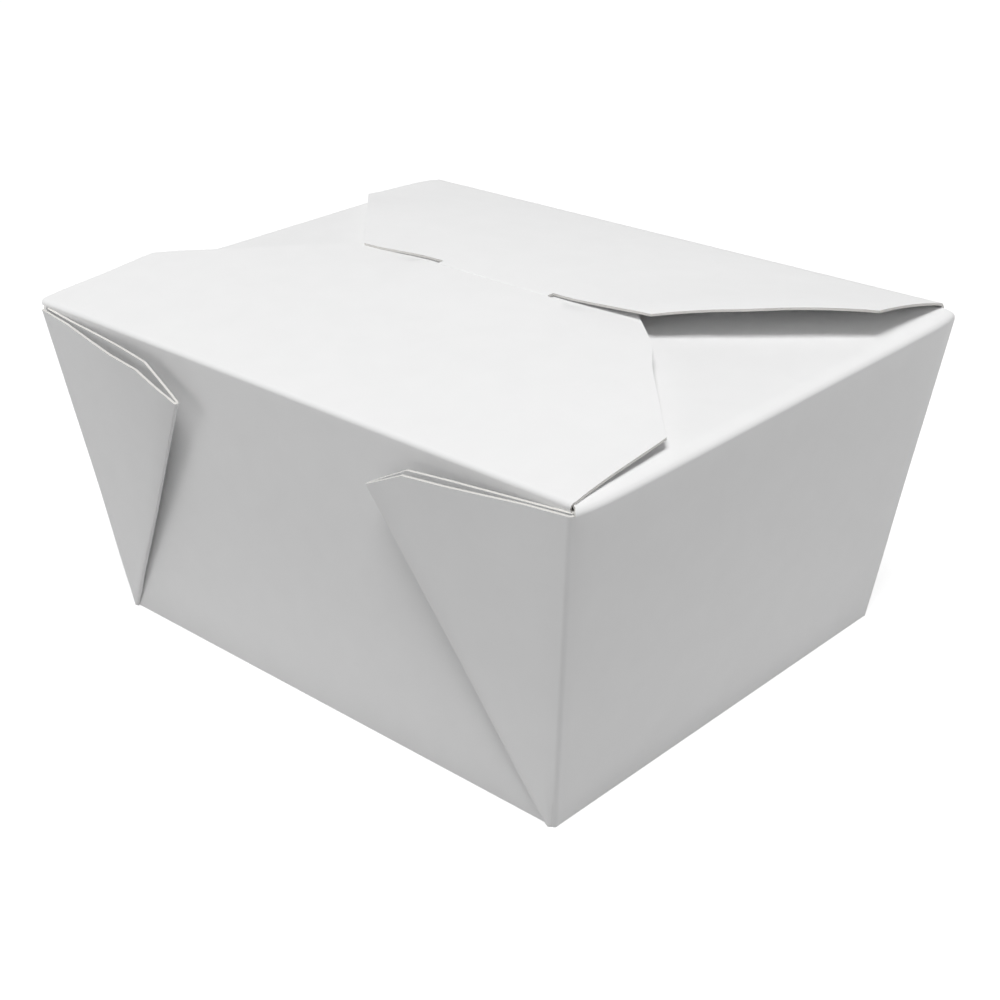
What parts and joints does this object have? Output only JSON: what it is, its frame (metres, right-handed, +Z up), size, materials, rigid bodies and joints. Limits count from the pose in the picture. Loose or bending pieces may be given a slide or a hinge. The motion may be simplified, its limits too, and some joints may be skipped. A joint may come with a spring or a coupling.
{
  "type": "takeout box",
  "caption": "White folded paperboard takeout carton with flared walls, webbed corners folded onto the long walls, and a domed lid whose tongue tucks into a slit.",
  "frame": {"origin": "centre of the base, on the table", "axes": "+X along the long walls, +Y towards the wall that carries the tuck flap, +Z up"},
  "size_m": [0.1278, 0.109, 0.0681],
  "materials": {
    "board": "white coated paperboard, satin"
  },
  "bodies": {
    "box": {"carton": "board"},
    "lid": {"tuck_flap": "board"}
  },
  "joints": [
    {"name": "tuck_flap_hinge", "type": "hinge", "parent": "box", "child": "lid", "pos_m": [0, 0.0514, 0.06274], "axis": [-1, 0, 0], "range_deg": [0, 180]}
  ]
}
